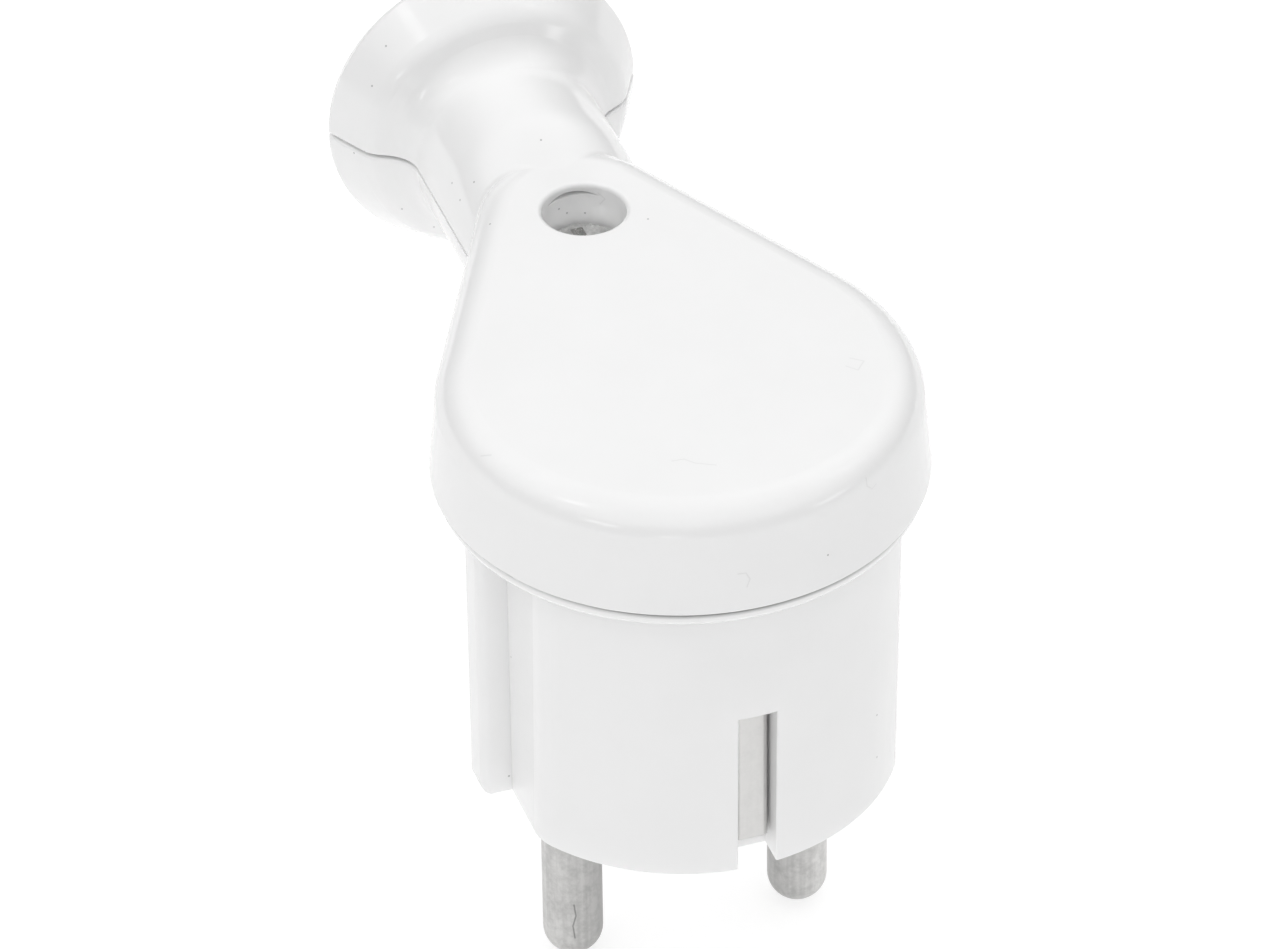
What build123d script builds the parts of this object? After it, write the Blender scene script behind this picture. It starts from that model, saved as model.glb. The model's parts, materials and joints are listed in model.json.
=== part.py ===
from build123d import *
import os
from math import asin, cos, pi, radians, sin, sqrt, tan

# Angled earthed plug with two round pins, in millimetres.
# The origin lies on the body's axis, on the face that meets the socket. The pins
# point down, X runs along the line of pins and +Y points to the cord outlet.

# Pins
pin_pitch = 19.0
pin_diameter = 4.8
pin_length = 19.0
pin_root_diameter = 5.4
collar_diameter = 6.6
collar_thickness = 1.4
head_diameter = 5.6
head_top = 15.5
wire_hole_diameter = 2.8
wire_hole_height = 11.6

# Moulded walls and general play
wall = 1.7
floor_thickness = 3.0
fit_gap = 0.1
seam_gap = 0.16

# Body that enters the socket
body_radius = 16.97
body_draft = 1.25
flat_depth = 2.12
rib_half_width = 1.7
rib_overhang = 0.28
rib_round = 0.8
flat_blend = 4.0

# Earth slots and the earth stirrup
slot_width = 3.1
slot_height = 15.0
slot_depth = 2.57
slot_round = 0.15
channel_top = 18.6
stirrup_depth = 1.17
stirrup_thickness = 1.0
stirrup_width = 2.76
stirrup_end = 1.9
stirrup_top = 17.0
stirrup_bend = 1.6
stirrup_pad_radius = 3.9

# Outline of the cover, seen from above
seam_height = 26.9
cover_height = 8.9
cover_overhang = 2.33
front_centre = 0.2
end_overhang = 0.6
end_distance = 7.13
cover_draft = 5.0
cover_round = 2.8
cover_wall = 2.0
rim_inset = 0.35
rim_thickness = 1.5
rim_round = 1.1
seam_round = 0.18

# Lip and hook that hold the cover's front edge
lip_play = 2.15
lip_thickness = 1.9
hook_width = 7.0
hook_drop = 5.4
hook_thickness = 1.5
barb_height = 1.3
barb_reach = 0.8

# Neck, mouth and the bore for the cord
neck_radius = 7.9
neck_step = 2.4
neck_length = 16.5
neck_wall = 2.0
crown_drop = 0.05
crown_rise_run = 7.0
valley_round = 1.2
mouth_flare = 5.1
mouth_length = 8.3
mouth_fillet = 3.0
mouth_steep = 60.0
mouth_slope = 27.7
mouth_ridge_round = 2.5
mouth_rim = 0.9
mouth_edge_round = 0.85
mouth_seam_relief = 0.15
mouth_seam_round = 0.2
mouth_wall = 1.7

# Cord jaws in the neck
jaw_length = 6.0
jaw_inset = 0.6
jaw_depth = 0.6
jaw_wall = 1.7
jaw_teeth = 3
tooth_height = 1.0
jaw_split_gap = 1.2

# Cover screw, its well, its keeper ring and its nut
screw_inset = 1.6
well_diameter = 6.7
well_depth = 5.4
well_round = 0.35
post_wall = 1.5
screw_diameter = 3.5
screw_play = 0.5
head_height = 2.2
cover_screw_head = 6.0
cover_screw_length = 8.6
keeper_diameter = 6.4
keeper_thickness = 0.7
post_drop = 0.5
base_post_diameter = 8.8
nut_width = 6.0
nut_thickness = 2.0
nut_drop = 3.8
web_thickness = 1.2
web_drop = 2.2

# Bridge that holds the pins down
pillar_height = 6.0
pillar_diameter = 8.0
bridge_thickness = 2.0
bridge_width = 8.4
bridge_reach = 10.4
bridge_screw_offset = 7.6
bridge_pillar_diameter = 6.4
small_screw_diameter = 2.9
small_head_diameter = 5.0
small_head_height = 1.8
small_screw_length = 5.4

# Terminal screws and the earth terminal
terminal_screw_diameter = 3.0
terminal_head_diameter = 4.4
terminal_head_height = 1.8
terminal_screw_length = 4.8
earth_screw_diameter = 3.5
earth_screw_head = 6.2
earth_screw_length = 7.2
earth_washer_diameter = 7.4
washer_thickness = 0.8
recess_width = 1.0
recess_depth = 1.1

flat_distance = body_radius - flat_depth
rib_reach = body_radius + rib_overhang
slot_floor = body_radius - slot_depth
stirrup_reach = body_radius - stirrup_depth
front_radius = body_radius + cover_overhang
end_radius = neck_radius + end_overhang
end_centre = body_radius + end_distance
flank_lean = asin((front_radius - end_radius) / (end_centre - front_centre))
screw_centre = end_centre - screw_inset
neck_side = sqrt(neck_radius ** 2 - (neck_step + seam_gap / 2) ** 2)
neck_start = end_centre + (end_radius - rim_inset - neck_side * cos(flank_lean)) / sin(flank_lean)
neck_end = end_centre + neck_length
crown_rise_start = neck_start + fit_gap
crown_rise_end = crown_rise_start + crown_rise_run
jaw_end = neck_end - jaw_inset
jaw_start = jaw_end - jaw_length
mouth_radius = neck_radius + mouth_flare
mouth_end = neck_end + mouth_length
mouth_opening_radius = mouth_radius - mouth_wall
cover_top = seam_height + cover_height
neck_height = seam_height + neck_step
neck_axis = Axis((0, 0, neck_height), (0, 1, 0))
crown_low = cover_top - neck_height - crown_drop
post_meeting = neck_height - post_drop
nut_ceiling = post_meeting - nut_drop
lip_outer = front_radius - rim_inset - lip_play
lip_inner = lip_outer - lip_thickness
pin_places = {"left": -pin_pitch / 2, "right": pin_pitch / 2}
bridge_bottom = pillar_height + collar_thickness
bridge_top = bridge_bottom + bridge_thickness
block_top = stirrup_top - stirrup_thickness
body_height = seam_height - rim_thickness
cavity_top = seam_height + cover_wall
far = 4 * front_radius


def body_radius_at(height):
    return body_radius + height * tan(radians(body_draft))


def cylinder(diameter, bottom, top, x=0, y=0):
    """Upright cylinder between two heights."""
    place = Pos(x, y, bottom)
    return place * Cylinder(diameter / 2, top - bottom, align=(Align.CENTER, Align.CENTER, Align.MIN))


def block(x_low, x_high, y_low, y_high, z_low, z_high):
    """Box between two corners."""
    centre = Pos((x_low + x_high) / 2, (y_low + y_high) / 2, (z_low + z_high) / 2)
    return centre * Box(x_high - x_low, y_high - y_low, z_high - z_low)


def teardrop(inset):
    """Cover outline, moved inwards: a wide front arc and a small end arc with straight flanks."""
    big = front_radius - inset
    small = end_radius - inset
    flank_front = (big * cos(flank_lean), front_centre + big * sin(flank_lean))
    flank_end = (small * cos(flank_lean), end_centre + small * sin(flank_lean))
    mirrored_front = (-flank_front[0], flank_front[1])
    mirrored_end = (-flank_end[0], flank_end[1])
    edges = Curve() + [
        ThreePointArc(mirrored_front, (0, front_centre - big), flank_front),
        Line(flank_front, flank_end),
        ThreePointArc(flank_end, (0, end_centre + small), mirrored_end),
        Line(mirrored_end, mirrored_front),
    ]
    return make_face(edges)


def cap(inset, bottom, top, edge_round):
    """Tapered cap over the teardrop outline, with a round top edge."""
    start = inset + (bottom - seam_height) * tan(radians(cover_draft))
    solid = extrude(Pos(0, 0, bottom) * teardrop(start), amount=top - bottom, taper=cover_draft)
    return fillet(solid.faces().sort_by(Axis.Z)[-1].edges(), edge_round)


def crown_height(y):
    """Half-height of the neck's upper half, which sinks to the cover's top where they meet."""
    part = min(max((y - crown_rise_start) / (crown_rise_end - crown_rise_start), 0), 1)
    smooth = (1 - cos(pi * part)) / 2
    return crown_low + (neck_radius - crown_low) * smooth


def crown(inset, start):
    """Upper half of the neck or of its bore, lofted through ellipses of changing height."""
    steps = 12
    sections = []
    for i in range(steps + 1):
        y = start + (neck_end - start) * i / steps
        plane = Plane(origin=(0, y, neck_height), x_dir=(1, 0, 0), z_dir=(0, 1, 0))
        sections.append(plane * Ellipse(neck_radius - inset, crown_height(y) - inset))
    return loft(sections) - block(-far, far, 0, far, -far, neck_height)


def along_neck(radius, start, end):
    """Cylinder around the neck's axis."""
    middle = Pos(0, (start + end) / 2, neck_height)
    return middle * Rot(90, 0, 0) * Cylinder(radius, end - start)


def mouth_outside():
    """Trumpet mouth turned around the neck's axis: hollow fillet, soft ridge, cone and round rim."""
    steep, slope = radians(mouth_steep), radians(mouth_slope)
    fillet_end = (neck_end + mouth_fillet * sin(steep), neck_radius + mouth_fillet * (1 - cos(steep)))
    fillet_middle = (
        neck_end + mouth_fillet * sin(steep / 2), neck_radius + mouth_fillet * (1 - cos(steep / 2))
    )
    rim_start = mouth_end - mouth_rim
    drop = mouth_radius - fillet_end[1] - (rim_start - fillet_end[0]) * tan(slope)
    run = drop / (tan(steep) - tan(slope))
    ridge = (fillet_end[0] + run, fillet_end[1] + run * tan(steep))
    mouth_corner = (mouth_end, mouth_radius)
    face = make_face(Curve() + [
        Polyline(
            (neck_end, neck_radius), (neck_end, 0), (mouth_end, 0), mouth_corner,
            (rim_start, mouth_radius), ridge, fillet_end,
        ),
        ThreePointArc(fillet_end, fillet_middle, (neck_end, neck_radius)),
    ])
    for corner, radius in ((ridge, mouth_ridge_round), (mouth_corner, mouth_edge_round)):
        face = fillet(face.vertices().sort_by_distance(corner)[:1], radius)
    return revolve(Plane.YZ * Pos(0, neck_height) * face, axis=neck_axis)


def mouth_inside():
    """Bell that widens from the bore to the mouth, so that the cord can bend without an edge."""
    bore = neck_radius - neck_wall
    run = mouth_end - neck_end
    rise = mouth_opening_radius - bore
    bend = (run * run + rise * rise) / (2 * rise)
    turn = asin(run / bend) / 2
    outline = Curve() + [
        Polyline((neck_end, bore), (neck_end, 0), (mouth_end, 0), (mouth_end, mouth_opening_radius)),
        ThreePointArc(
            (mouth_end, mouth_opening_radius),
            (neck_end + bend * sin(turn), bore + bend - bend * cos(turn)),
            (neck_end, bore),
        ),
    ]
    return revolve(Plane.YZ * Pos(0, neck_height) * make_face(outline), axis=neck_axis)


def under_seam(gap):
    """Space below the stepped seam, which rises to the neck's axis where the neck begins."""
    low = block(-far, far, -far, far, -far, seam_height + gap)
    return low + block(-far, far, neck_start - gap, far, 0, neck_height + gap)


def points_on(edge):
    """Three points spread along an edge."""
    return [edge @ share for share in (0.2, 0.5, 0.8)]


def outline_edges(part, height, inset):
    """Edges of a part that follow the cover's outline at one height."""
    outline = (Pos(0, 0, height) * teardrop(inset)).face().outer_wire()
    near = fit_gap / 4
    return part.edges().filter_by(lambda edge: all(outline.distance_to(p) < near for p in points_on(edge)))


def mouth_seam_edges(part, height):
    """Outer edges of one half of the mouth where the two halves meet."""
    edges = part.edges().filter_by(lambda edge: abs(edge.center().Z - height) < fit_gap / 10)
    edges = edges.filter_by(lambda edge: neck_end < edge.center().Y < mouth_end - fit_gap / 10)
    return edges.filter_by(lambda edge: min(abs(point.X) for point in points_on(edge)) > neck_radius)


def jaw_seat():
    """Shallow ring in the bore that keeps the cord jaws from sliding out."""
    return along_neck(neck_radius - neck_wall + jaw_depth, jaw_start, jaw_end)


def slot_pockets():
    """Earth slots in the body's side, and the channels that lead the stirrup into the body."""
    half = slot_width / 2
    pockets = block(-half, half, slot_floor, far, -1, slot_height)
    pockets += block(-half, half, slot_floor, stirrup_reach + 1.5 * fit_gap, -1, channel_top)
    return pockets + mirror(pockets, Plane.XZ)


def slot_edges(body):
    """Outer edges of both slots: the upright ones and the one across each slot's top."""
    outer = body.edges().filter_by(lambda edge: abs(edge.center().Y) > stirrup_reach + 3 * fit_gap)
    upright = outer.filter_by(lambda edge: abs(abs(edge.center().X) - slot_width / 2) < fit_gap / 2)
    across = outer.filter_by(lambda edge: abs(edge.center().X) < fit_gap)
    across = across.filter_by(lambda edge: abs(edge.center().Z - slot_height) < fit_gap)
    return upright.filter_by(lambda edge: edge.length > slot_width) + across


def guide_ribs():
    """Upright ribs in the middle of both flats, rounded at the outer corners and at the foot."""
    rib = block(flat_distance - 1, rib_reach, -rib_half_width, rib_half_width, 0, body_height)
    outer = rib.edges().filter_by(Axis.Z).sort_by(Axis.X)[-2:]
    rib = fillet(outer + rib.edges().filter_by(Axis.Y).sort_by(Axis.X)[-2:].sort_by(Axis.Z)[:1], rib_round)
    return rib + mirror(rib, Plane.YZ)


def body_outside():
    """Drafted round body with a flat on both sides and a guide rib in each flat."""
    body = Cone(
        body_radius, body_radius_at(body_height), body_height,
        align=(Align.CENTER, Align.CENTER, Align.MIN),
    )
    body &= block(-flat_distance, flat_distance, -far, far, -1, seam_height)
    upright = [edge for edge in body.edges() if abs(edge.center().Z - body_height / 2) < 1]
    body = fillet(upright, flat_blend) - slot_pockets()
    return fillet(slot_edges(body), slot_round) + guide_ribs()


def body_inside():
    """Hollow of the body above its floor, with the wall's thickness left all round."""
    hollow = Pos(0, 0, floor_thickness) * Cone(
        body_radius_at(floor_thickness) - wall, body_radius_at(body_height) - wall,
        body_height - floor_thickness, align=(Align.CENTER, Align.CENTER, Align.MIN),
    )
    side = flat_distance - wall
    hollow &= block(-side, side, -far, far, 0, seam_height)
    half = slot_width / 2 + wall
    liner = block(-half, half, slot_floor - wall, far, 0, slot_height)
    return hollow - liner - mirror(liner, Plane.XZ)


def rim():
    """Flange under the cover that follows the cover's outline, with a round lower edge."""
    plate = extrude(Pos(0, 0, body_height) * teardrop(rim_inset), amount=rim_thickness)
    return fillet(plate.faces().sort_by(Axis.Z)[0].edges(), rim_round)


def build_base():
    """Lower housing: body, rim, lower half of the neck, pillars and the nut's post."""
    outside = body_outside() + rim() + along_neck(neck_radius, 0, neck_end) + mouth_outside()
    bore = neck_radius - neck_wall
    inside = body_inside() + along_neck(bore, 0, neck_end) + mouth_inside() + jaw_seat()
    inside += cylinder(2 * lip_outer + 2 * fit_gap, body_height - fit_gap, seam_height + 1)
    part = (outside & under_seam(-seam_gap / 2)) - inside
    for x in pin_places.values():
        part += cylinder(pillar_diameter, floor_thickness, pillar_height, x)
    for y in (-bridge_screw_offset, bridge_screw_offset):
        part += cylinder(bridge_pillar_diameter, floor_thickness, bridge_bottom, 0, y)
        part -= cylinder(small_screw_diameter + fit_gap, floor_thickness, bridge_bottom, 0, y)
    for x in pin_places.values():
        part -= cylinder(pin_root_diameter + fit_gap, -1, pillar_height, x)
    part += post_in_base()
    part -= nut_pocket() + hook_window()
    part = fillet(outline_edges(part, seam_height - seam_gap / 2, rim_inset), seam_round)
    relief_floor = neck_height - seam_gap / 2 - mouth_seam_relief
    part -= block(-far, far, neck_end, far, relief_floor, far)
    return fillet(mouth_seam_edges(part, relief_floor), mouth_seam_round)


def post_in_base():
    """Hollow post that carries the cover's post and holds the nut."""
    low = neck_height - neck_radius + neck_wall / 2
    return cylinder(base_post_diameter, low, post_meeting - fit_gap, 0, screw_centre)


def nut_pocket():
    """Square pocket open below for the nut, and the screw's clearance hole."""
    half = nut_width / 2 + fit_gap
    pocket = block(-half, half, screw_centre - half, screw_centre + half, 0, nut_ceiling)
    pocket &= cylinder(4 * half, seam_height - 2 * neck_radius, nut_ceiling, 0, screw_centre)
    return pocket + cylinder(screw_diameter + screw_play, nut_ceiling, post_meeting, 0, screw_centre)


def hook_low():
    return body_height - hook_drop


def hook_window():
    """Recess inside the front wall for the hook's barb."""
    half = hook_width / 2 + 2 * fit_gap
    back = -(body_radius_at(hook_low()) - wall) + 1
    front = -(lip_hook_face() + barb_reach + fit_gap)
    return block(-half, half, front, back, hook_low() - fit_gap, hook_low() + barb_height + 2 * fit_gap)


def lip_hook_face():
    """Distance of the hook's outer face from the body's axis."""
    return body_radius_at(hook_low()) - wall - 2.5 * fit_gap


def hook():
    """Tongue at the cover's front edge with a barb that catches under the body's wall."""
    half = hook_width / 2
    face = lip_hook_face()
    tongue = block(-half, half, -face, -face + hook_thickness, hook_low(), cavity_top)
    tongue &= cylinder(2 * face, 0, cavity_top)
    barb = block(-half, half, -face - barb_reach, -face + 1, hook_low(), hook_low() + barb_height)
    barb = chamfer(barb.edges().filter_by(Axis.X).sort_by(Axis.Y)[:2].sort_by(Axis.Z)[:1], barb_reach * 0.9)
    reach = cylinder(2 * (face + barb_reach), hook_low() - 1, cavity_top)
    return (tongue + barb) & reach


def lip():
    """Ring under the cover that drops inside the rim, left open towards the cord outlet."""
    ring = cylinder(2 * lip_outer, body_height, seam_height + seam_gap)
    ring += cylinder(2 * (front_radius - cover_wall) + 1, seam_height + seam_gap / 2, cavity_top)
    ring -= cylinder(2 * lip_inner, body_height - 1, cavity_top + 1)
    return ring - block(-far, far, screw_centre - bridge_reach, far, 0, far)


def well_post():
    """Post under the cover's top that carries the screw's head and stands on the base's post."""
    return cylinder(well_diameter + 2 * post_wall, post_meeting, cover_top - cover_wall / 2, 0, screw_centre)


def webs():
    """Thin webs under the cover's top that stiffen the post."""
    bottom = cover_top - cover_wall - web_drop
    sideways = block(-far, far, screw_centre - web_thickness / 2, screw_centre + web_thickness / 2,
                     bottom, cover_top - 1)
    lengthways = block(-web_thickness / 2, web_thickness / 2, -far, screw_centre, bottom, cover_top - 1)
    return (sideways + lengthways) & cap(cover_wall / 2, seam_height, cover_top - 1, cover_round)


def valley_edges(part):
    """Edges where the upper half of the neck comes out of the cap."""
    def on_both(point):
        lift = sqrt(max(0, 1 - (point.X / neck_radius) ** 2))
        on_crown = abs(point.Z - neck_height - crown_height(point.Y) * lift) < fit_gap
        return on_crown and point.Y < crown_rise_end and seam_height < point.Z < cover_top + fit_gap
    return part.edges().filter_by(lambda edge: all(on_both(point) for point in points_on(edge)))


def is_well_mouth(edge):
    """Whether a round edge is the upper end of the screw's well."""
    return abs(edge.radius - well_diameter / 2) < fit_gap and edge.center().Z > cover_top - fit_gap


def build_cover():
    """Upper housing: cap, upper half of the neck and mouth, lip, hook and screw post."""
    outside = cap(0, seam_height - 1, cover_top, cover_round) + crown(0, screw_centre)
    outside = fillet(valley_edges(outside), valley_round) + mouth_outside()
    inside = cap(cover_wall, seam_height - 1, cover_top - cover_wall, cover_round / 2)
    inside += crown(neck_wall, screw_centre)
    inside += along_neck(neck_radius - neck_wall, neck_end - 1, neck_end + 1)
    inside += mouth_inside() + jaw_seat()
    inside += lower_bore()
    part = outside - inside - under_seam(seam_gap / 2)
    part += webs() + well_post() + lip() + hook()
    part -= cylinder(well_diameter, cover_top - well_depth, cover_top + 1, 0, screw_centre)
    mouth = part.edges().filter_by(GeomType.CIRCLE).filter_by(lambda edge: is_well_mouth(edge))
    part = fillet(mouth, well_round)
    part = fillet(outline_edges(part, seam_height + seam_gap / 2, 0), seam_round)
    part = fillet(mouth_seam_edges(part, neck_height + seam_gap / 2), mouth_seam_round)
    part -= cylinder(screw_diameter + screw_play, 0, cover_top, 0, screw_centre)
    return part - cylinder(keeper_diameter + fit_gap, 0, post_meeting + keeper_thickness, 0, screw_centre)


def lower_bore():
    """Lower half of the bore, where the neck passes through the cover's end wall."""
    return along_neck(neck_radius - neck_wall, screw_centre, neck_end) & under_seam(seam_height)


def build_pin(x):
    """Turned pin with a round tip, a thicker root, a collar, and a head for wire and screw."""
    shank_end = pin_diameter / 2 - pin_length
    pin = cylinder(pin_diameter, shank_end, 0, x) + Pos(x, 0, shank_end) * Sphere(pin_diameter / 2)
    pin += cylinder(pin_root_diameter, 0, pillar_height, x)
    pin += cylinder(collar_diameter, pillar_height, bridge_bottom, x)
    pin += cylinder(head_diameter, bridge_bottom, head_top, x)
    pin -= Pos(x, 0, wire_hole_height) * Rot(90, 0, 0) * Cylinder(wire_hole_diameter / 2, 2 * head_diameter)
    screw_floor = head_top - terminal_screw_length - fit_gap
    return pin - cylinder(terminal_screw_diameter + fit_gap, screw_floor, head_top, x)


def build_screw(place, seat, diameter, length, head_diameter, head_height, crossed):
    """Screw with a domed head on its seat, a recess in the head and a bevelled tip."""
    x, y = place
    shank = cylinder(diameter, seat - length, seat, x, y)
    shank = chamfer(shank.edges().sort_by(Axis.Z)[:1], diameter / 8)
    head = cylinder(head_diameter, seat, seat + head_height, x, y)
    head = fillet(head.edges().sort_by(Axis.Z)[-1:], head_height / 3)
    top = seat + head_height
    half_long = head_diameter / 2 - head_height / 4 if not crossed else head_diameter / 3
    half_wide = recess_width / 2
    low, high = top - recess_depth, top + 1
    recess = block(x - half_long, x + half_long, y - half_wide, y + half_wide, low, high)
    if crossed:
        recess += block(x - half_wide, x + half_wide, y - half_long, y + half_long, low, high)
    return shank + head - recess


def build_nut(y, bottom, hole):
    """Square nut."""
    half = nut_width / 2
    nut = block(-half, half, y - half, y + half, bottom, bottom + nut_thickness)
    nut = chamfer(nut.edges().filter_by(Axis.Z), fit_gap * 3)
    return nut - cylinder(hole, bottom - 1, bottom + nut_width, 0, y)


def build_pin_bridge():
    """Moulded cross that presses on both collars and carries the earth nut."""
    half = bridge_width / 2
    reach = flat_distance - wall - fit_gap
    cross = block(-reach, reach, -half, half, bridge_bottom, bridge_top)
    cross += block(-half, half, -bridge_reach, bridge_reach, bridge_bottom, bridge_top)
    cross = fillet(cross.edges().filter_by(Axis.Z), 1)
    cross += block(-half, half, -half, half, bridge_bottom, block_top)
    nut_half = nut_width / 2 + fit_gap
    nut_floor = block_top - nut_thickness - fit_gap
    cross -= block(-nut_half, nut_half, -nut_half, nut_half, nut_floor, block_top)
    cross -= cylinder(earth_screw_diameter + screw_play, bridge_bottom, block_top)
    for x in pin_places.values():
        cross -= cylinder(head_diameter + 2 * fit_gap, bridge_bottom, bridge_top, x)
    for y in (-bridge_screw_offset, bridge_screw_offset):
        cross -= cylinder(small_screw_diameter + screw_play, bridge_bottom, bridge_top, 0, y)
    return cross


def build_stirrup():
    """Bent strip whose two ends lie in the earth slots, with a wider pad under the earth screw."""
    half = stirrup_width / 2
    outer = block(-half, half, -stirrup_reach, stirrup_reach, stirrup_end, stirrup_top)
    outer = fillet(outer.edges().filter_by(Axis.X).sort_by(Axis.Z)[-2:], stirrup_bend)
    inner_reach = stirrup_reach - stirrup_thickness
    inner = block(-far, far, -inner_reach, inner_reach, 0, stirrup_top - stirrup_thickness)
    inner = fillet(inner.edges().filter_by(Axis.X).sort_by(Axis.Z)[-2:], stirrup_bend - stirrup_thickness)
    strip = outer - inner
    strip = fillet(strip.edges().filter_by(Axis.Z).sort_by(lambda e: -abs(e.center().Y))[:4], 0.5)
    strip += cylinder(2 * stirrup_pad_radius, stirrup_top - stirrup_thickness, stirrup_top)
    return strip - cylinder(earth_screw_diameter + screw_play / 2, 0, stirrup_top + 1)


def build_jaw(upper):
    """Half ring with teeth that bite on the cord's jacket."""
    outer = neck_radius - neck_wall + jaw_depth - fit_gap
    inner = outer - jaw_wall
    start, end = jaw_start + fit_gap, jaw_end - fit_gap
    pitch = (end - start) / jaw_teeth
    comb = [(start, outer), (start, inner)]
    for i in range(jaw_teeth):
        comb += [(start + pitch * (i + 0.5), inner - tooth_height), (start + pitch * (i + 1), inner)]
    comb += [(end, outer)]
    face = make_face(Polyline(*comb, close=True))
    ring = revolve(Plane.YZ * Pos(0, neck_height) * face, axis=neck_axis)
    lower = ring & block(-far, far, 0, far, 0, neck_height - jaw_split_gap)
    return lower.rotate(neck_axis, 180) if upper else lower


def build_keeper():
    """Flat ring that keeps the cover screw in the cover."""
    bottom = post_meeting + fit_gap / 2
    ring = cylinder(keeper_diameter, bottom, bottom + keeper_thickness - fit_gap, 0, screw_centre)
    return ring - cylinder(screw_diameter + fit_gap, 0, far, 0, screw_centre)


def build_washer():
    """Clamp washer on the stirrup's pad."""
    washer = cylinder(earth_washer_diameter, stirrup_top, stirrup_top + washer_thickness)
    return washer - cylinder(earth_screw_diameter + screw_play / 2, 0, far)


def small_screw(y):
    return build_screw(
        (0, y), bridge_top, small_screw_diameter, small_screw_length,
        small_head_diameter, small_head_height, True,
    )


def terminal_screw(x):
    return build_screw(
        (x, 0), head_top, terminal_screw_diameter, terminal_screw_length,
        terminal_head_diameter, terminal_head_height, False,
    )


def build_parts():
    """All pieces by name."""
    parts = {"base": build_base(), "cover": build_cover()}
    parts["cover_screw"] = build_screw(
        (0, screw_centre), cover_top - well_depth, screw_diameter, cover_screw_length,
        cover_screw_head, head_height, True,
    )
    parts["cover_screw_keeper"] = build_keeper()
    nut_hole = screw_diameter + fit_gap
    parts["cover_nut"] = build_nut(screw_centre, nut_ceiling - nut_thickness, nut_hole)
    for side, x in pin_places.items():
        parts["pin_" + side] = build_pin(x)
        parts["terminal_screw_" + side] = terminal_screw(x)
    parts["pin_bridge"] = build_pin_bridge()
    parts["bridge_screw_front"] = small_screw(-bridge_screw_offset)
    parts["bridge_screw_rear"] = small_screw(bridge_screw_offset)
    parts["earth_stirrup"] = build_stirrup()
    parts["earth_nut"] = build_nut(0, block_top - nut_thickness - fit_gap, earth_screw_diameter + fit_gap)
    parts["earth_washer"] = build_washer()
    parts["earth_screw"] = build_screw(
        (0, 0), stirrup_top + washer_thickness, earth_screw_diameter, earth_screw_length,
        earth_screw_head, head_height, True,
    )
    parts["cord_jaw_lower"] = build_jaw(False)
    parts["cord_jaw_upper"] = build_jaw(True)
    return parts


os.makedirs("parts", exist_ok=True)
for name, solid in build_parts().items():
    export_step(solid, "parts/" + name + ".step")
    print(name, round(solid.volume, 1))
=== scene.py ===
# %% [markdown]
# An angled earthed plug, dressed for the camera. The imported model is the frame: every
# node of it already has the right size and place, so this lesson only adds what a
# construction model lacks, which is finish, light, threads and small marks of use.
# Blender works in metres here, so a helper turns millimetres into metres.

# %% Load the frame
import bmesh
import bpy
import json
from math import cos, pi, radians, sin
from mathutils import Matrix, Vector


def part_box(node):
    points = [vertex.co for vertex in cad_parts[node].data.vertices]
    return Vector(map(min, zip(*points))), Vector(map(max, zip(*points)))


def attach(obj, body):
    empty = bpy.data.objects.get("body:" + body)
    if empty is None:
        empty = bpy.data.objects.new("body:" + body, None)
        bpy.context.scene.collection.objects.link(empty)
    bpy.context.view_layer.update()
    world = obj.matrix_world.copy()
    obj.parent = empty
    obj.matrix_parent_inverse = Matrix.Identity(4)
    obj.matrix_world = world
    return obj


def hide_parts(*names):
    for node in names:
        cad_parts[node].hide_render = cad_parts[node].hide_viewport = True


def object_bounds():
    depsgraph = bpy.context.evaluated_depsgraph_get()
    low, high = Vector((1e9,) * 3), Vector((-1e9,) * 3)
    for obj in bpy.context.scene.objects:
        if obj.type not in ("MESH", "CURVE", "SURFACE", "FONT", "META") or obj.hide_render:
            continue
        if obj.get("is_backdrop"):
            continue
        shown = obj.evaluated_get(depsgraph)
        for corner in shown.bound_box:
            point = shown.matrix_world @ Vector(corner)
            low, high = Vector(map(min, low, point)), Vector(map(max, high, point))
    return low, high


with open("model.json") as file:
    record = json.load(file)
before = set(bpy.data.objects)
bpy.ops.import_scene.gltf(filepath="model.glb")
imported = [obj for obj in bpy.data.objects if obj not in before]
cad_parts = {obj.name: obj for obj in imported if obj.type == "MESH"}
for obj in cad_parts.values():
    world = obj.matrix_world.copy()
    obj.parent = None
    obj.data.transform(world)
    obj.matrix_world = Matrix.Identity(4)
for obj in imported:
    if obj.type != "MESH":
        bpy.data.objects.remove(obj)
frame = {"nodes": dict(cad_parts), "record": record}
nodes = frame["nodes"]
cad_low, cad_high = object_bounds()
cad_low, cad_high = Vector(cad_low), Vector(cad_high)
MM = 0.001


def mm(*values):
    """A length, or a place, given in millimetres."""
    return values[0] * MM if len(values) == 1 else Vector(values) * MM


print("nodes:", len(nodes), "size in mm:", [round(v / MM, 1) for v in cad_high - cad_low])

# %% [markdown]
# The camera comes first, because everything is compared through it. The photograph was
# taken from rather close, and slightly rolled. Its place was found by matching the round
# pins, the body's edges and the cover's outline, which gives a turn around the plug, a
# tilt down, a distance and a focal length in pixels of a frame 1265 pixels wide.

# %% Camera
PHOTO_WIDTH, PHOTO_HEIGHT = 1265, 949
turn, tilt, roll = radians(18.832), radians(37.338), radians(-0.813)
camera_distance = mm(631.285)
sideways, upwards = mm(-4.046), mm(20.501)
focal_pixels = 8017.0
film_width = 36.0

right = Vector((cos(turn), -sin(turn), 0))
ahead = Vector((sin(turn) * cos(tilt), cos(turn) * cos(tilt), -sin(tilt)))
over = Vector((sin(turn) * sin(tilt), cos(turn) * sin(tilt), cos(tilt)))
camera_right = right * cos(roll) + over * sin(roll)
camera_up = over * cos(roll) - right * sin(roll)
camera_place = camera_right * sideways + camera_up * upwards - ahead * camera_distance

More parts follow.
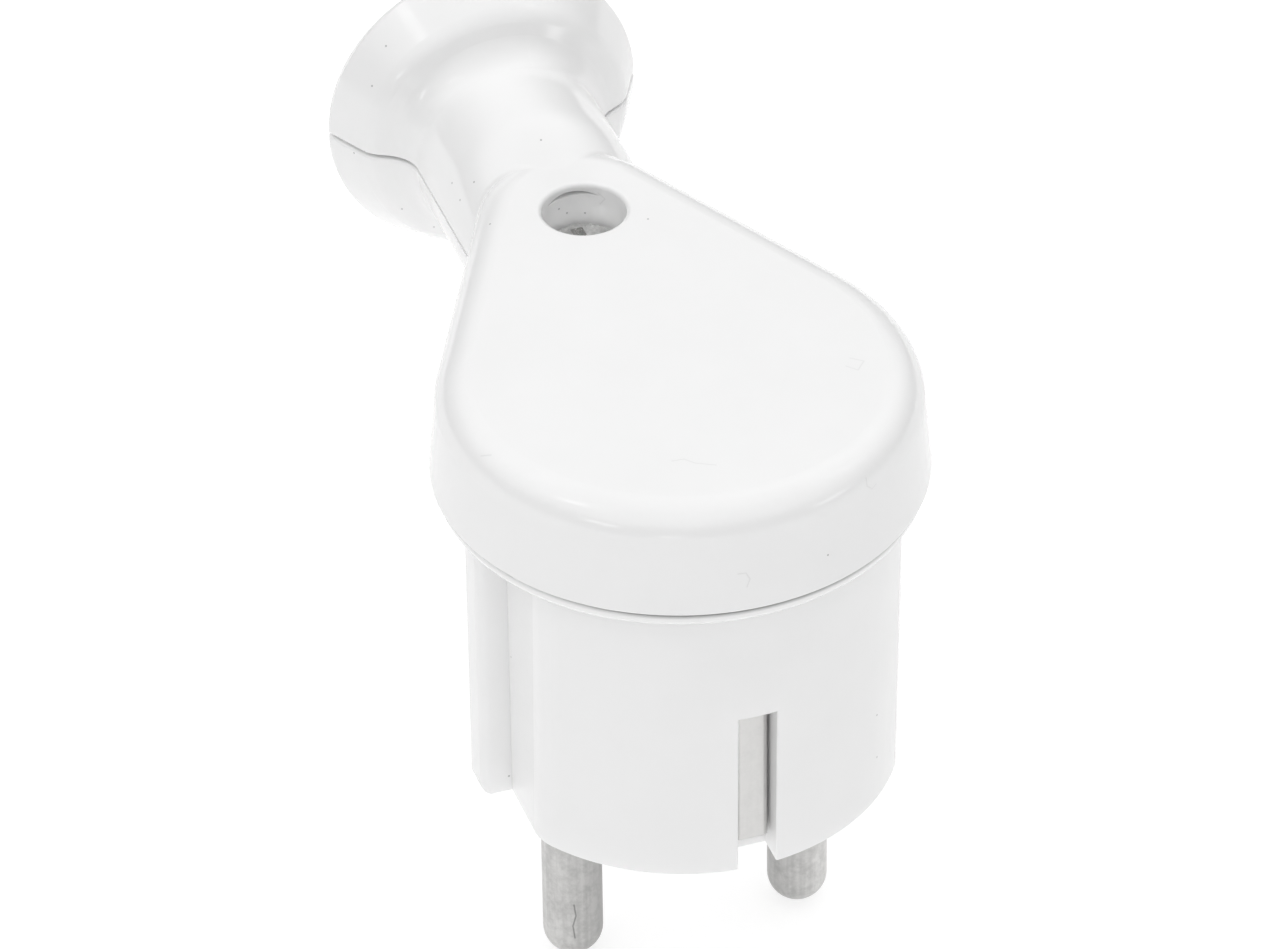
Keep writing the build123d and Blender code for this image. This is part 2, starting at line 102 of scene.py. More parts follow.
lens = bpy.data.cameras.new("photo_camera")
lens.sensor_width = film_width
lens.lens = focal_pixels / PHOTO_WIDTH * film_width
lens.clip_start, lens.clip_end = 0.01, 20
camera = bpy.data.objects.new("photo_camera", lens)
axes = Matrix((camera_right, camera_up, -ahead)).transposed().to_4x4()
camera.matrix_world = Matrix.Translation(camera_place) @ axes
bpy.context.scene.collection.objects.link(camera)
bpy.context.scene.camera = camera
print("lens", round(lens.lens, 1), "mm, camera at", [round(v, 3) for v in camera_place])


# %% [markdown]
# Some marks on the plug are placed by where they show in the photograph. A ray from the
# camera through that pixel is followed to the plug's surface, so the mark sits on the
# surface whatever the pixel.

# %% From a pixel to a place on the surface
def place_seen_at(column, row):
    """Where the ray through a pixel of the photograph meets the plug, or None."""
    bpy.context.view_layer.update()
    aim = ahead * focal_pixels
    aim += camera_right * (column - PHOTO_WIDTH / 2) + camera_up * (PHOTO_HEIGHT / 2 - row)
    graph = bpy.context.evaluated_depsgraph_get()
    hit, place = bpy.context.scene.ray_cast(graph, camera_place, aim.normalized())[:2]
    return place if hit else None


for label, pixel in {"front edge": (664, 535), "cover top": (650, 380), "pin": (573, 900)}.items():
    print(label, place_seen_at(*pixel))

# %% [markdown]
# The plug was photographed on a glowing white ground, so the floor is pale and lights up
# a little by itself. A white sky that grows brighter overhead wraps the plug in light, so
# the top is the lightest face. One large soft panel shines from beside the camera into
# the well and the slots, and two others lift the sides. Five small lamps do nothing but
# draw the short streaks on the round front edge, the mouth and the neck: each stands where
# the surface under its streak mirrors it to the camera. The view transform is the plain
# one, so white stays white.

# %% Floor and light
scene = bpy.context.scene
scene.view_settings.view_transform = "Standard"
scene.view_settings.look = "None"


def new_material(name):
    """A node material with its output and a Principled shader, ready for more nodes."""
    material = bpy.data.materials.new(name)
    material.use_nodes = True
    tree = material.node_tree
    return material, tree, tree.nodes["Principled BSDF"]


def add(tree, kind, **settings):
    """A node with settings and inputs: names with a capital are input sockets."""
    node = tree.nodes.new(kind)
    for key, value in settings.items():
        if key[0].isupper() or key[0] == "_":
            socket = node.inputs[int(key[1:])] if key[0] == "_" else node.inputs[key.replace("_", " ")]
            if isinstance(value, bpy.types.NodeSocket):
                tree.links.new(value, socket)
            else:
                socket.default_value = value
        else:
            setattr(node, key, value)
    return node


floor_reach = 3.0
floor_height = cad_low.z
floor_mesh = bpy.data.meshes.new("floor")
corners = [(-floor_reach, -floor_reach), (floor_reach, -floor_reach), (floor_reach, floor_reach),
           (-floor_reach, floor_reach)]
floor_mesh.from_pydata([(x, y, floor_height) for x, y in corners], [], [(0, 1, 2, 3)])
floor = bpy.data.objects.new("floor", floor_mesh)
scene.collection.objects.link(floor)
floor_paint, tree, shader = new_material("floor_white")
shader.inputs["Base Color"].default_value = (0.35, 0.35, 0.35, 1)
shader.inputs["Roughness"].default_value = 0.9
shader.inputs["Emission Color"].default_value = (1, 1, 1, 1)
shader.inputs["Emission Strength"].default_value = 0.74
floor_mesh.materials.append(floor_paint)
floor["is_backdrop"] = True

sky = bpy.data.worlds.new("white_sky")
sky.use_nodes = True
background = sky.node_tree.nodes["Background"]
background.inputs["Color"].default_value = (1, 1, 1, 1)
upward = add(sky.node_tree, "ShaderNodeTexCoord").outputs["Generated"]
height = add(sky.node_tree, "ShaderNodeSeparateXYZ", Vector=upward)
glow = add(sky.node_tree, "ShaderNodeMapRange", interpolation_type="SMOOTHSTEP", Value=height.outputs["Z"],
           From_Min=0.3, From_Max=0.72, To_Min=0.02, To_Max=1.12)
sky.node_tree.links.new(glow.outputs[0], background.inputs["Strength"])
scene.world = sky

# Floor and sky surround the plug, so a ray that bounces off it finds them by itself.
# Leaving them out of the lamp sampling leaves those samples to the small lamps.
floor_paint.cycles.emission_sampling = "NONE"
sky.cycles.sampling_method = "NONE"
middle = (cad_low + cad_high) / 2
lamp_distance = 0.9


def soft_panel(name, direction, width, height, power):
    """A rectangular lamp in one direction from the plug, facing it."""
    data = bpy.data.lights.new(name, "AREA")
    data.shape = "RECTANGLE"
    data.size, data.size_y, data.energy = width, height, power
    lamp = bpy.data.objects.new(name, data)
    away = Vector(direction).normalized()
    lamp.rotation_euler = away.to_track_quat("Z", "Y").to_euler()
    lamp.location = middle + away * lamp_distance
    scene.collection.objects.link(lamp)


for name, direction, width, height, power in (
    ("panel_back_right", (0.7, 0.3, 0.65), 0.8, 0.8, 0.55),
    ("panel_back_left", (-0.6, 0.3, 0.75), 0.8, 0.8, 0.6),
    ("panel_front_top", (-0.4, -0.6, 0.7), 0.7, 0.7, 0.4),
    ("streak_left", (-0.75, -0.56, 0.34), 0.2, 0.07, 0.2),
    ("streak_front", (-0.40, -0.91, 0.07), 0.16, 0.07, 0.16),
    ("streak_right", (0.73, -0.65, 0.23), 0.24, 0.07, 0.2),
    ("streak_mouth", (-0.58, -0.07, 0.81), 0.1, 0.12, 0.16),
    ("streak_neck", (0.64, -0.03, 0.77), 0.06, 0.06, 0.05),
):
    soft_panel(name, direction, width, height, power)


# %% [markdown]
# Used white plastic carries small marks: dark specks, and short curled scratches where
# something sharp slid off. Each is named here with the pixels where it shows in the
# photograph. A speck is one place, a scratch a chain of places; a pixel whose ray finds
# nothing is left out.

# %% Marks of use, by where they show
speck_pixels = {
    "cover_edge": (828, 555), "wall_upper": (877, 715), "wall_lower": (877, 757), "top_by_well": (648, 219),
    "rib_top": (511, 657), "rib_low": (509, 776), "mouth_rim": (386, 46),
    "neck_low_a": (460, 200), "neck_low_b": (474, 182), "neck_low_c": (452, 183), "neck_top": (541, 140),
    "neck_valley": (490, 224), "under_neck_a": (434, 227), "under_neck_b": (402, 209),
    "mouth_left": (354, 153), "mouth_upper": (372, 86), "well_a": (567, 213), "well_b": (585, 213),
    "well_c": (559, 209),
}
scratch_pixels = {
    "top_curl": ((672, 461), (684, 459), (695, 463), (716, 465)),
    "edge_hook": ((866, 478), (867, 486), (872, 489), (876, 484)),
    "front_hook": ((738, 574), (746, 573), (750, 579), (747, 587)),
    "top_loop": ((846, 366), (858, 370), (864, 361), (850, 358)),
    "side_tick": ((481, 456), (491, 455)), "well_curl": ((598, 193), (605, 199), (600, 204)),
}
plastic_specks = [place for place in (place_seen_at(*pixel) for pixel in speck_pixels.values()) if place]
plastic_scratches = []
for chain in scratch_pixels.values():
    places = [place for place in (place_seen_at(*pixel) for pixel in chain) if place]
    plastic_scratches += list(zip(places, places[1:]))
print(len(plastic_specks), "specks,", len(plastic_scratches), "pieces of scratch")

# %% [markdown]
# In the shader a mark is a distance: how far a point of the surface lies from the nearest
# speck, or from the nearest piece of a scratch. Below a set distance the mark begins.

# %% Distances to marks
def nearest_of(tree, distances):
    """The smallest of several distances."""
    nearest = distances[0]
    for other in distances[1:]:
        nearest = add(tree, "ShaderNodeMath", operation="MINIMUM", _0=nearest, _1=other).outputs[0]
    return nearest


def distance_to_place(tree, coords, place):
    """Distance to one place."""
    return add(tree, "ShaderNodeVectorMath", operation="DISTANCE", _0=coords, _1=place).outputs["Value"]


def distance_to_line(tree, coords, start, end):
    """Distance to a straight piece between two places."""
    along = end - start
    away = add(tree, "ShaderNodeVectorMath", operation="SUBTRACT", _0=coords, _1=start).outputs[0]
    share = add(tree, "ShaderNodeVectorMath", operation="DOT_PRODUCT", _0=away,
                _1=along / max(along.length_squared, 1e-12)).outputs["Value"]
    share = add(tree, "ShaderNodeMath", operation="MULTIPLY", use_clamp=True, _0=share, _1=1.0).outputs[0]
    foot = add(tree, "ShaderNodeVectorMath", operation="SCALE", _0=along, Scale=share).outputs[0]
    return add(tree, "ShaderNodeVectorMath", operation="DISTANCE", _0=away, _1=foot).outputs["Value"]


def mark(tree, distances, width):
    """One on the marks, zero off them, with a soft edge."""
    return add(tree, "ShaderNodeMapRange", Value=nearest_of(tree, distances), From_Min=width,
               From_Max=width * 0.4).outputs[0]


# %% [markdown]
# White glossy plastic looks plain but isn't: moulding leaves a very faint ripple, and the
# roughness changes a little from place to place. Light also goes a little way into it, so
# edges and holes glow softly; that is what subsurface scattering is for. All of it is read
# from Object coordinates, so the finish stays with the plug. The seam under the cover is
# darkened to a thin line of painted shade, strongest at the front, and the wall of the
# screw's well is painted a little whiter, as painted light.

# %% White plastic
seam_low, seam_high, seam_back = mm(26.4), mm(27.04), mm(27.0)
seam_fade_in, seam_fade_out = mm(0.36), mm(0.06)
well_radius = mm(3.45)


def seam_grime(tree, coords):
    """Painted shade in the seam under the cover: one there, zero away from it, weaker on the left flank."""
    split = add(tree, "ShaderNodeSeparateXYZ", Vector=coords).outputs
    above = add(tree, "ShaderNodeMapRange", Value=split["Z"], From_Min=seam_low,
                From_Max=seam_low + seam_fade_in)
    below = add(tree, "ShaderNodeMapRange", Value=split["Z"], From_Min=seam_high,
                From_Max=seam_high - seam_fade_out)
    front = add(tree, "ShaderNodeMath", operation="LESS_THAN", _0=split["Y"], _1=seam_back)
    side = add(tree, "ShaderNodeMapRange", Value=split["X"], From_Min=mm(-17), From_Max=mm(-7), To_Min=0.35)
    band = add(tree, "ShaderNodeMath", operation="MULTIPLY", _0=above.outputs[0], _1=below.outputs[0])
    band = add(tree, "ShaderNodeMath", operation="MULTIPLY", _0=band.outputs[0], _1=front.outputs[0])
    return add(tree, "ShaderNodeMath", operation="MULTIPLY", _0=band.outputs[0], _1=side.outputs[0]).outputs[0]


def darken(tree, colour, mask, left):
    """The colour, scaled down to a share of itself where the mask is one."""
    share = add(tree, "ShaderNodeMapRange", Value=mask, To_Min=1.0, To_Max=left).outputs[0]
    return add(tree, "ShaderNodeVectorMath", operation="SCALE", _0=colour, Scale=share).outputs[0]


def fresher_inside(tree, coords, colour):
    """Painted light: the wall of the screw's well is made a little whiter, so the well looks lit."""
    low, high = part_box("cover_screw")
    axis = ((low.x + high.x) / 2, (low.y + high.y) / 2, 0)
    flat = add(tree, "ShaderNodeVectorMath", operation="MULTIPLY", _0=coords, _1=(1, 1, 0)).outputs[0]
    away = distance_to_place(tree, flat, axis)
    inside = add(tree, "ShaderNodeMath", operation="LESS_THAN", _0=away, _1=well_radius).outputs[0]
    share = add(tree, "ShaderNodeMapRange", Value=inside, To_Min=1.0, To_Max=1.03).outputs[0]
    return add(tree, "ShaderNodeVectorMath", operation="SCALE", _0=colour, Scale=share).outputs[0]


def white_plastic(name, colour, roughness):
    """Glossy white moulding with its ripple, its marks of use, painted shade in the seam and painted light in
    the well.
    """
    material, tree, shader = new_material(name)
    coords = add(tree, "ShaderNodeTexCoord").outputs["Object"]
    cloud = add(tree, "ShaderNodeTexNoise", Vector=coords, Scale=120.0, Detail=3.0)
    shade = add(tree, "ShaderNodeMapRange", Value=cloud.outputs[0], From_Min=0.3, From_Max=0.7, To_Min=0.985,
                To_Max=1.005)
    tint = add(tree, "ShaderNodeVectorMath", operation="SCALE", _0=colour, Scale=shade.outputs[0]).outputs[0]
    specks = mark(tree, [distance_to_place(tree, coords, place) for place in plastic_specks], mm(0.11))
    lines = mark(tree, [distance_to_line(tree, coords, *ends) for ends in plastic_scratches], mm(0.08))
    # Painted light: the wall of the screw's well is made a little whiter.
    tint = fresher_inside(tree, coords, tint)
    tint = darken(tree, tint, specks, 0.5)
    tint = darken(tree, tint, lines, 0.86)
    # Painted shade: the seam under the cover is darkened to a thin dark line.
    tint = darken(tree, tint, seam_grime(tree, coords), 0.42)
    tree.links.new(tint, shader.inputs["Base Color"])
    fine = add(tree, "ShaderNodeTexNoise", Vector=coords, Scale=2600.0, Detail=3.0)
    rough = add(tree, "ShaderNodeMapRange", Value=fine.outputs[0], From_Min=0.3, From_Max=0.7,
                To_Min=roughness - 0.02, To_Max=roughness + 0.03)
    scuffed = add(tree, "ShaderNodeMath", operation="MULTIPLY_ADD", _0=lines, _1=0.3, _2=rough.outputs[0])
    tree.links.new(scuffed.outputs[0], shader.inputs["Roughness"])
    ripple = add(tree, "ShaderNodeBump", Strength=0.05, Distance=mm(0.01), Height=fine.outputs[0])
    tree.links.new(ripple.outputs[0], shader.inputs["Normal"])
    shader.inputs["Subsurface Weight"].default_value = 0.25
    shader.inputs["Subsurface Radius"].default_value = (1, 1, 1)
    shader.inputs["Subsurface Scale"].default_value = mm(1.3)
    return material


housing_paint = white_plastic("housing_white", (0.96, 0.96, 0.96), 0.14)


# %% [markdown]
# The pins are nickel-plated brass. The plate has gone dull with use: mottled patches, and
# fine scratches along each pin from every time it went into a socket. A metal shows its
# wear in its roughness more than in its colour, so both follow the same patches.

# %% Metals
def plated_metal(name, colour, roughness, streak_scale, mottle, extra=None):
    """Dull plating, mottled and streaked; extra may change the colour further."""
    material, tree, shader = new_material(name)
    shader.inputs["Metallic"].default_value = 1.0
    coords = add(tree, "ShaderNodeTexCoord").outputs["Object"]
    lean = add(tree, "ShaderNodeMapping", Vector=coords, Scale=streak_scale)
    streaks = add(tree, "ShaderNodeTexNoise", Vector=lean.outputs[0], Scale=1.0, Detail=3.0)
    patches = add(tree, "ShaderNodeTexNoise", Vector=coords, Scale=900.0, Detail=6.0, Roughness=0.75)
    streaky = add(tree, "ShaderNodeMath", operation="MULTIPLY_ADD", _0=streaks.outputs[0], _1=0.35,
                  _2=0.33).outputs[0]
    both = add(tree, "ShaderNodeMath", operation="MULTIPLY", _0=streaky, _1=patches.outputs[0])
    tint = add(tree, "ShaderNodeMapRange", Value=both.outputs[0], From_Min=0.18, From_Max=0.32,
               To_Min=1 - mottle, To_Max=1.0)
    mix = add(tree, "ShaderNodeVectorMath", operation="SCALE", _0=colour, Scale=tint.outputs[0]).outputs[0]
    if extra:
        mix = extra(tree, coords, mix)
    tree.links.new(mix, shader.inputs["Base Color"])
    rough = add(tree, "ShaderNodeMapRange", Value=patches.outputs[0], From_Min=0.3, From_Max=0.7,
                To_Min=roughness - 0.07, To_Max=roughness + 0.1)
    tree.links.new(rough.outputs[0], shader.inputs["Roughness"])
    bump = add(tree, "ShaderNodeBump", Strength=0.25, Distance=mm(0.03), Height=both.outputs[0])
    tree.links.new(bump.outputs[0], shader.inputs["Normal"])
    return material


pin_scratch = [place_seen_at(*pixel) for pixel in ((574, 905), (576, 916), (573, 926), (575, 938))]


def pin_wear(tree, coords, colour):
    """Painted shade, darker on each pin's side towards the other pin and on the left pin more than the right,
    standing in for the shade between the pins; and one deep scratch of wear.
    """
    across = add(tree, "ShaderNodeSeparateXYZ", Vector=coords).outputs["X"]
    outwards = add(tree, "ShaderNodeMath", operation="ABSOLUTE", _0=across).outputs[0]
    share = add(tree, "ShaderNodeMapRange", Value=outwards, From_Min=mm(7.3), From_Max=mm(11.7), To_Min=0.7,
                To_Max=1.1).outputs[0]
    lean = add(tree, "ShaderNodeMapRange", Value=across, From_Min=mm(-7), From_Max=mm(7), To_Min=0.93,
               To_Max=1.09).outputs[0]
    share = add(tree, "ShaderNodeMath", operation="MULTIPLY", _0=share, _1=lean).outputs[0]
    colour = add(tree, "ShaderNodeVectorMath", operation="SCALE", _0=colour, Scale=share).outputs[0]
    ends = list(zip(pin_scratch, pin_scratch[1:]))
    line = mark(tree, [distance_to_line(tree, coords, *pair) for pair in ends], mm(0.09))
    return darken(tree, colour, line, 0.55)


# The pins carry painted shade between them and one real scratch.
pin_metal = plated_metal("pin_nickel", (0.66, 0.655, 0.645), 0.42, (2600, 2600, 60), 0.26, pin_wear)
strip_metal = plated_metal("strip_nickel", (0.68, 0.675, 0.665), 0.34, (1800, 90, 90), 0.08)
screw_metal = plated_metal("screw_steel", (0.8, 0.8, 0.79), 0.22, (900, 900, 900), 0.3)
nut_metal = plated_metal("nut_steel", (0.55, 0.55, 0.54), 0.42, (900, 900, 900), 0.2)


# %% [markdown]
# Inside, the jaws and the bridge are plain grey moulding, and the ring that keeps the
# cover screw is pressed fibre. Neither is seen until the plug is opened, yet each has its
# own surface.

# %% Inner plastics
def plain_moulding(name, colour, roughness, grain):
    """Unpolished moulding with a fine grain."""
    material, tree, shader = new_material(name)
    coords = add(tree, "ShaderNodeTexCoord").outputs["Object"]
    speckle = add(tree, "ShaderNodeTexNoise", Vector=coords, Scale=grain, Detail=4.0)
    shade = add(tree, "ShaderNodeMapRange", Value=speckle.outputs[0], From_Min=0.3, From_Max=0.7,
                To_Min=0.88, To_Max=1.08)
    mix = add(tree, "ShaderNodeVectorMath", operation="SCALE", _0=colour, Scale=shade.outputs[0])
    tree.links.new(mix.outputs[0], shader.inputs["Base Color"])
    rough = add(tree, "ShaderNodeMapRange", Value=speckle.outputs[0], To_Min=roughness - 0.08,
                To_Max=roughness + 0.08)
    tree.links.new(rough.outputs[0], shader.inputs["Roughness"])
    bump = add(tree, "ShaderNodeBump", Strength=0.3, Distance=mm(0.04), Height=speckle.outputs[0])
    tree.links.new(bump.outputs[0], shader.inputs["Normal"])
    return material


insulator_paint = plain_moulding("insulator_grey", (0.46, 0.47, 0.48), 0.55, 1400.0)
fibre_paint = plain_moulding("fibre_ring", (0.35, 0.12, 0.08), 0.7, 2600.0)

finishes = {
    "housing_white": housing_paint, "insulator_grey": insulator_paint, "pin_nickel": pin_metal,
    "strip_nickel": strip_metal, "screw_steel": screw_metal, "nut_steel": nut_metal,
    "fibre_ring": fibre_paint,
}
for part in frame["record"]["subparts"]:
    for slot in nodes[part["node"]].material_slots:
        slot.material = finishes[part["material_slot"]]

# %% [markdown]
# The ends of the earth strip show in the slots. Stamped sheet has softly rounded edges, so
# the strip is taken over from the model: its loose triangles are merged, flat faces are
# joined again, and only the long edges of the two ends get a small round bevel.

# %% Earth strip with rounded edges
def merged_copy(source):
    """A copy of a model's node with its triangles merged and its flat faces joined."""
    work = bmesh.new()
    work.from_mesh(source.data)
    bmesh.ops.remove_doubles(work, verts=work.verts, dist=mm(0.0005))
    bmesh.ops.dissolve_limit(work, angle_limit=radians(0.5), verts=work.verts, edges=work.edges)
    return work


strip_work = merged_copy(nodes["earth_stirrup"])
leg_start, end_round = mm(15), mm(0.28)
long_edges = [
    edge for edge in strip_work.edges
    if len(edge.link_faces) == 2 and edge.calc_face_angle() > radians(60)
    and all(abs(vertex.co.y) > leg_start for vertex in edge.verts)
    and abs(edge.verts[0].co.y - edge.verts[1].co.y) < mm(0.01) and edge.calc_length() > mm(5)
]
bmesh.ops.bevel(strip_work, geom=long_edges, offset=end_round, segments=4, profile=0.5, affect="EDGES")
strip_mesh = bpy.data.meshes.new("earth_strip")
strip_work.to_mesh(strip_mesh)
strip_work.free()
strip_mesh.materials.append(strip_metal)
strip_mesh.shade_smooth()
strip_mesh.set_sharp_from_angle(angle=radians(35))
strip = bpy.data.objects.new("earth_strip", strip_mesh)
scene.collection.objects.link(strip)
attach(strip, "root")
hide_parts("earth_stirrup")
print(len(long_edges), "edges rounded,", len(strip_mesh.polygons), "faces")

# %% [markdown]
# A construction model leaves screws as plain pegs. A real one has a rolled thread: one
# ridge that climbs round the shank, one pitch for every turn. It could be swept along a
# helix, but that leaves a seam along the core. Here a flat grid is rolled up instead, and
# each point's distance from the axis follows the rule for a thread, so the surface stays
# in one piece. Geometry Nodes is the right tool, because all six screws share that rule
# and differ only in a few lengths.

# %% Arithmetic and turned bodies in Geometry Nodes
def calc(tree, operation, *values):
    """One step of arithmetic on numbers or sockets."""
    settings = {"_" + str(i): value for i, value in enumerate(values)}
    return add(tree, "ShaderNodeMath", operation=operation, **settings).outputs[0]


def turned(tree, rows, columns, shape):
    """A closed body of revolution. The shape tells radius and height for a row and a turn."""
    grid = add(tree, "GeometryNodeMeshGrid", Size_X=1.0, Size_Y=1.0, Vertices_X=columns, Vertices_Y=rows)
    place = add(tree, "GeometryNodeInputPosition").outputs[0]
    flat = add(tree, "ShaderNodeSeparateXYZ", Vector=place)
    turn_share = calc(tree, "ADD", flat.outputs["X"], 0.5)
    rise = calc(tree, "ADD", flat.outputs["Y"], 0.5)
    radius, height = shape(rise, turn_share)
    angle = calc(tree, "MULTIPLY", turn_share, 2 * pi)
    x = calc(tree, "MULTIPLY", radius, calc(tree, "COSINE", angle))
    y = calc(tree, "MULTIPLY", radius, calc(tree, "SINE", angle))
    rolled = add(tree, "ShaderNodeCombineXYZ", X=x, Y=y, Z=height).outputs[0]
    moved = add(tree, "GeometryNodeSetPosition", Geometry=grid.outputs["Mesh"], Position=rolled)
    return add(tree, "GeometryNodeMergeByDistance", Geometry=moved.outputs[0], Distance=mm(0.002)).outputs[0]


# %% [markdown]
# The shank tapers to a blunt tip, the ridge grows over the first turns and runs out under
# the head. Both ends of the grid shrink to the axis, which closes the body.

# %% The screw's node group
screw_rule = bpy.data.node_groups.new("rolled_screw", "GeometryNodeTree")
screw_rule.interface.new_socket("Geometry", in_out="OUTPUT", socket_type="NodeSocketGeometry")
screw_inputs = {}
for name, kind in {
    "Seat": "NodeSocketVector", "Length": "NodeSocketFloat", "Thread radius": "NodeSocketFloat",
    "Pitch": "NodeSocketFloat", "Head radius": "NodeSocketFloat", "Head height": "NodeSocketFloat",
    "Recess width": "NodeSocketFloat", "Recess length": "NodeSocketFloat",
    "Recess depth": "NodeSocketFloat", "Crossed": "NodeSocketBool", "Metal": "NodeSocketMaterial",
}.items():
    socket = screw_rule.interface.new_socket(name, in_out="INPUT", socket_type=kind)
    screw_inputs[name] = socket.identifier

given = add(screw_rule, "NodeGroupInput").outputs
core_share, thread_rows, turn_steps = 0.76, 260, 49
head_rows, head_steps = 28, 65


def shank_shape(rise, turn_share):
    """Radius and height of the threaded shank."""
    tree = screw_rule
    height = calc(tree, "MULTIPLY", calc(tree, "SUBTRACT", rise, 1.0), given["Length"])
    climbed = calc(tree, "SUBTRACT", calc(tree, "DIVIDE", height, given["Pitch"]), turn_share)
    ridge = calc(tree, "PINGPONG", climbed, 0.5)
    ridge = add(tree, "ShaderNodeMapRange", interpolation_type="SMOOTHSTEP", Value=ridge, From_Min=0.06,
                From_Max=0.42).outputs[0]
    lead_in = add(tree, "ShaderNodeMapRange", interpolation_type="SMOOTHSTEP", Value=rise, From_Max=0.22)
    run_out = add(tree, "ShaderNodeMapRange", interpolation_type="SMOOTHSTEP", Value=rise, From_Min=0.86,
                  From_Max=0.8)
    ridge = calc(tree, "MULTIPLY", ridge, calc(tree, "MULTIPLY", lead_in.outputs[0], run_out.outputs[0]))
    core = calc(tree, "MULTIPLY", given["Thread radius"], core_share)
    depth = calc(tree, "MULTIPLY", given["Thread radius"], 1 - core_share)
    tip = add(tree, "ShaderNodeMapRange", Value=rise, From_Max=0.1, To_Min=0.55, To_Max=1.0).outputs[0]
    radius = calc(tree, "MULTIPLY", calc(tree, "MULTIPLY_ADD", ridge, depth, core), tip)
    inside = calc(tree, "COMPARE", rise, 0.5, 0.4999)
    return calc(tree, "MULTIPLY", radius, inside), height


def head_shape(rise, turn_share):
    """Radius and height of a pan head: a disc with a generously rounded rim."""
    tree = screw_rule
    angle = calc(tree, "MULTIPLY", calc(tree, "SUBTRACT", rise, 0.5), pi)
    across = calc(tree, "POWER", calc(tree, "ABSOLUTE", calc(tree, "COSINE", angle)), 0.35)
    up = calc(tree, "POWER", calc(tree, "ABSOLUTE", calc(tree, "SINE", angle)), 0.35)
    up = calc(tree, "MULTIPLY", up, calc(tree, "SIGN", angle))
    half = calc(tree, "MULTIPLY", given["Head height"], 0.5)
    below = calc(tree, "COMPARE", rise, 0.5, 0.4999)
    radius = calc(tree, "MULTIPLY", calc(tree, "MULTIPLY", across, given["Head radius"]), below)
    return radius, calc(tree, "MULTIPLY_ADD", up, half, half)


shank = turned(screw_rule, thread_rows, turn_steps, shank_shape)
head = turned(screw_rule, head_rows, head_steps, head_shape)

# %% [markdown]
# The driver's recess is cut out of the head with plain blocks: one for a slot, two for a
# cross. Edges that bend sharply stay sharp in the shading, all others are smoothed.

# %% Recess, and the finished group
slot_size = add(screw_rule, "ShaderNodeCombineXYZ", X=given["Recess length"], Y=given["Recess width"],
                Z=calc(screw_rule, "MULTIPLY", given["Recess depth"], 2.0)).outputs[0]
bar = add(screw_rule, "GeometryNodeMeshCube", Size=slot_size).outputs["Mesh"]
quarter = add(screw_rule, "GeometryNodeTransform", Geometry=bar, Rotation=(0, 0, pi / 2)).outputs[0]
second = add(screw_rule, "GeometryNodeSwitch", input_type="GEOMETRY", Switch=given["Crossed"], _2=quarter)
top = add(screw_rule, "ShaderNodeCombineXYZ", Z=given["Head height"]).outputs[0]


def lifted(geometry):
    """The same shape, raised to the top of the head."""
    return add(screw_rule, "GeometryNodeTransform", Geometry=geometry, Translation=top).outputs[0]


cut = add(screw_rule, "GeometryNodeMeshBoolean", operation="DIFFERENCE", solver="EXACT")
screw_rule.links.new(head, cut.inputs["Mesh 1"])
for cutter in (lifted(bar), lifted(second.outputs[0])):
    screw_rule.links.new(cutter, cut.inputs["Mesh 2"])
whole = add(screw_rule, "GeometryNodeJoinGeometry")
for body in (shank, cut.outputs["Mesh"]):
    screw_rule.links.new(body, whole.inputs[0])
placed = add(screw_rule, "GeometryNodeTransform", Geometry=whole.outputs[0], Translation=given["Seat"])
bend = add(screw_rule, "GeometryNodeInputMeshEdgeAngle").outputs[0]
gentle = add(screw_rule, "FunctionNodeCompare", operation="LESS_THAN", A=bend, B=radians(38))
smooth = add(screw_rule, "GeometryNodeSetShadeSmooth", domain="EDGE", Geometry=placed.outputs[0],
             Shade_Smooth=gentle.outputs[0])
faces = add(screw_rule, "GeometryNodeSetShadeSmooth", domain="FACE", Geometry=smooth.outputs[0],
            Shade_Smooth=True)
real = add(screw_rule, "GeometryNodeRealizeInstances", Geometry=faces.outputs[0])
painted = add(screw_rule, "GeometryNodeSetMaterial", Geometry=real.outputs[0], Material=given["Metal"])
add(screw_rule, "NodeGroupOutput", Geometry=painted.outputs[0])

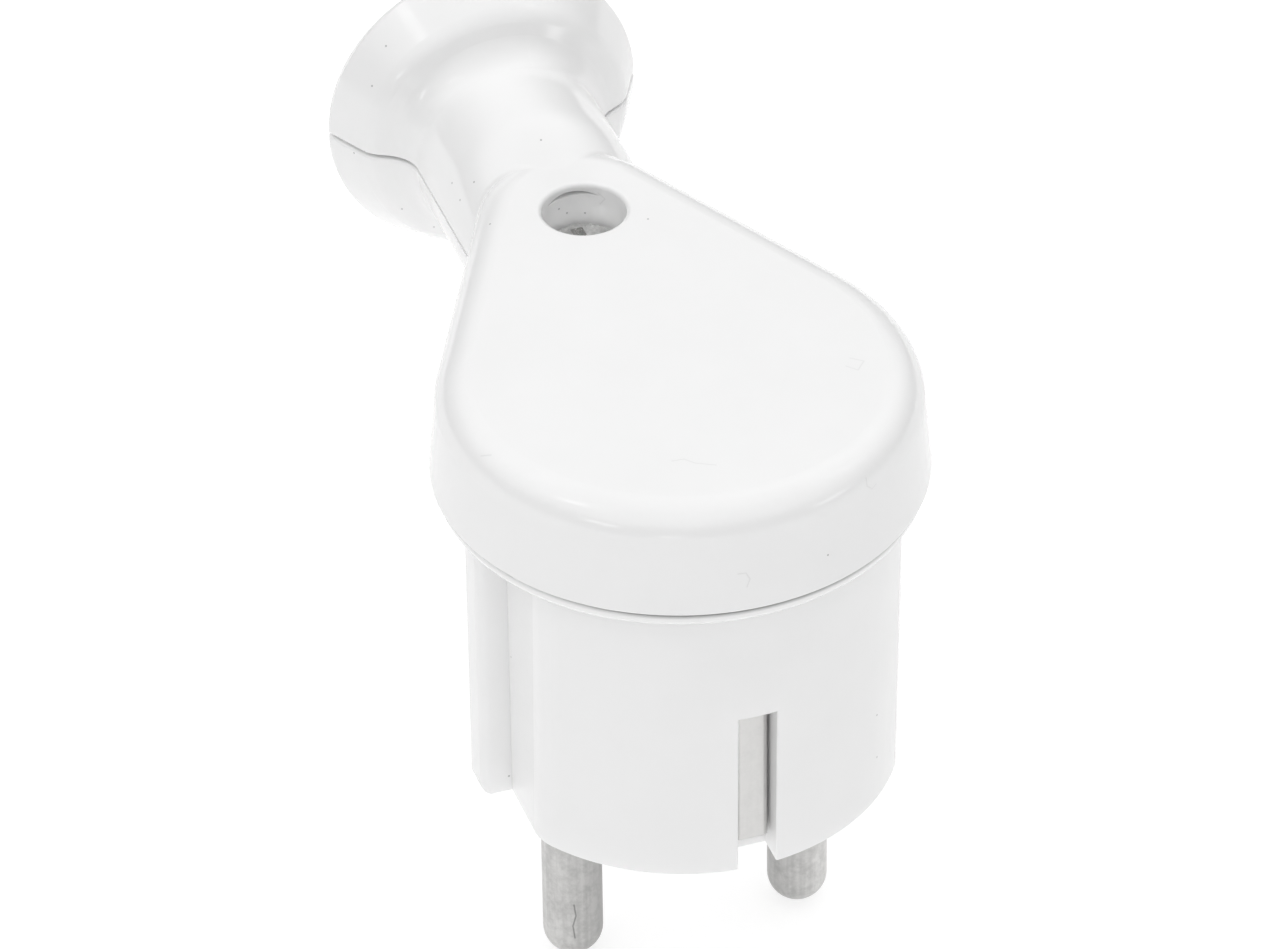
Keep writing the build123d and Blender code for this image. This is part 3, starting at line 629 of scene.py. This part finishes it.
# %% [markdown]
# Each screw reads its place and its length from the box of the model's own screw. The
# modifier's result is kept as a plain mesh, and the modifier is dropped with its carrier.
# The kinds below hold thread diameter, pitch and head height in millimetres, and whether
# the recess is a cross.

# %% Make the six screws
def grow(name, rule, values):
    """Run a node group on an empty carrier and keep the result as a plain mesh."""
    carrier = bpy.data.objects.new(name + "_carrier", bpy.data.meshes.new(name + "_carrier"))
    scene.collection.objects.link(carrier)
    modifier = carrier.modifiers.new("rule", "NODES")
    modifier.node_group = rule
    for identifier, value in values.items():
        modifier[identifier] = value
    bpy.context.view_layer.update()
    grown = carrier.evaluated_get(bpy.context.evaluated_depsgraph_get())
    mesh = bpy.data.meshes.new_from_object(grown)
    mesh.name = name
    bpy.data.objects.remove(carrier)
    piece = bpy.data.objects.new(name, mesh)
    scene.collection.objects.link(piece)
    return piece


screw_kinds = {
    "cover_screw": (3.5, 0.6, 2.2, True), "earth_screw": (3.5, 0.6, 2.2, True),
    "terminal_screw_left": (3.0, 0.5, 1.8, False), "terminal_screw_right": (3.0, 0.5, 1.8, False),
    "bridge_screw_front": (2.9, 0.7, 1.8, False), "bridge_screw_rear": (2.9, 0.7, 1.8, False),
}
recess_width, recess_depth = mm(1.0), mm(1.1)
cross_share, slot_share = 1.34, 2.4
for node, (thread, pitch, head_height, crossed) in screw_kinds.items():
    low, high = (Vector(corner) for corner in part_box(node))
    seat = Vector(((low.x + high.x) / 2, (low.y + high.y) / 2, high.z - mm(head_height)))
    head_radius = (high.x - low.x) / 2
    values = {
        "Seat": tuple(seat), "Length": seat.z - low.z, "Thread radius": mm(thread / 2), "Pitch": mm(pitch),
        "Head radius": head_radius, "Head height": mm(head_height), "Recess width": recess_width,
        "Recess length": head_radius * (cross_share if crossed else slot_share), "Recess depth": recess_depth,
        "Crossed": crossed, "Metal": screw_metal,
    }
    piece = grow(node + "_threaded", screw_rule, {screw_inputs[key]: value for key, value in values.items()})
    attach(piece, "root")
    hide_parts(node)
    print(piece.name, len(piece.data.polygons), "faces")

# %% Sizes, and the end
low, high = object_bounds()
